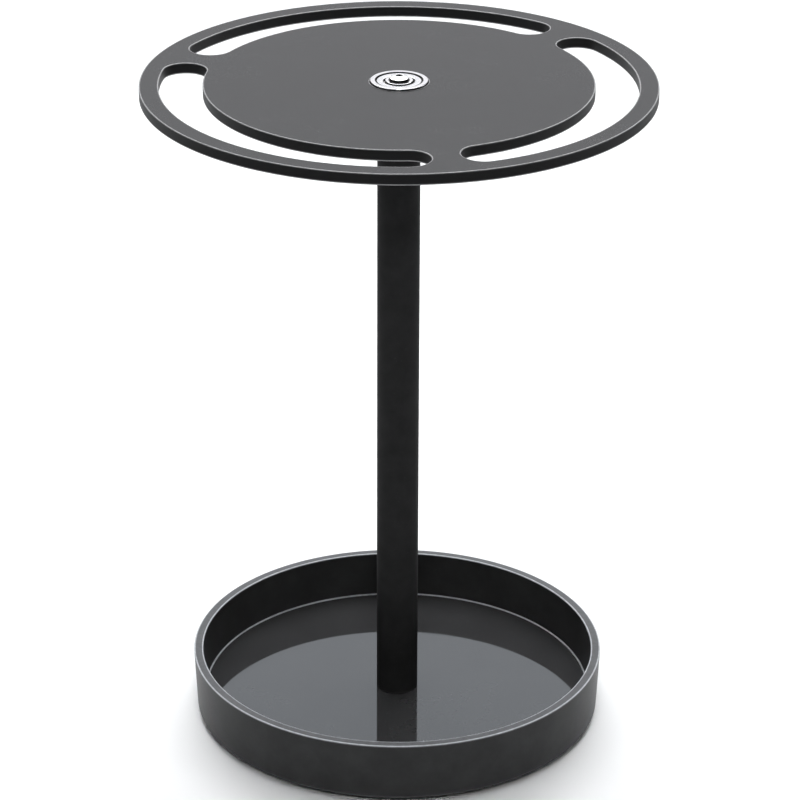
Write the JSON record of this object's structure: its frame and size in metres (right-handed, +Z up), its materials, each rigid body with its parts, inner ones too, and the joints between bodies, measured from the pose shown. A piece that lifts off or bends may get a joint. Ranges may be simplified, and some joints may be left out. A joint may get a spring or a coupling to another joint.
{
  "type": "eyeglass display rack",
  "caption": "Countertop rack for eyeglasses: a round plate with curved hanging slots turns on a flanged ball bearing above a slim post and a round catch tray.",
  "frame": {"origin": "centre of the footprint, on the surface that the feet stand on", "axes": "+Z up the post, -Y towards the viewer, +X to the viewer's right"},
  "size_m": [0.225, 0.225, 0.3103],
  "materials": {
    "plate_black": "satin black acrylic sheet",
    "tray_black": "satin black moulded plastic",
    "gloss_black": "mirror-gloss black acrylic",
    "post_black": "satin black powder coat on steel tube",
    "bearing_steel": "polished bearing steel",
    "shield_steel": "pressed bright steel",
    "pressed_steel": "pressed steel",
    "bright_steel": "bright nickel plate",
    "plated_steel": "zinc-plated steel",
    "foot_rubber": "moulded black rubber"
  },
  "bodies": {
    "stand": {"tray": "tray_black", "tray_floor_disc": "gloss_black", "rubber_feet": "foot_rubber", "base_screw": "plated_steel", "base_washer": "plated_steel", "post_bottom_plug": "plated_steel", "post_tube": "post_black", "post_top_plug": "plated_steel", "hub_spacer": "plated_steel", "bearing_inner_race": "bearing_steel", "bearing_bush": "plated_steel", "pivot_screw": "bright_steel"},
    "carousel": {"top_plate": "plate_black", "bearing_outer_race": "bearing_steel", "bearing_top_shield": "shield_steel", "bearing_bottom_shield": "shield_steel"},
    "ball_set": {"bearing_balls": "bearing_steel", "bearing_cage": "pressed_steel"}
  },
  "joints": [
    {"name": "plate_spin", "type": "hinge", "parent": "stand", "child": "carousel", "pos_m": [0, 0, 0.305], "axis": [0, 0, 1], "continuous": true},
    {"name": "cage_spin", "type": "hinge", "parent": "stand", "child": "ball_set", "pos_m": [0, 0, 0.305], "axis": [0, 0, 1], "continuous": true}
  ],
  "couplings": [
    {"joint": "cage_spin", "follows": "plate_spin", "ratio": 0.6323}
  ]
}
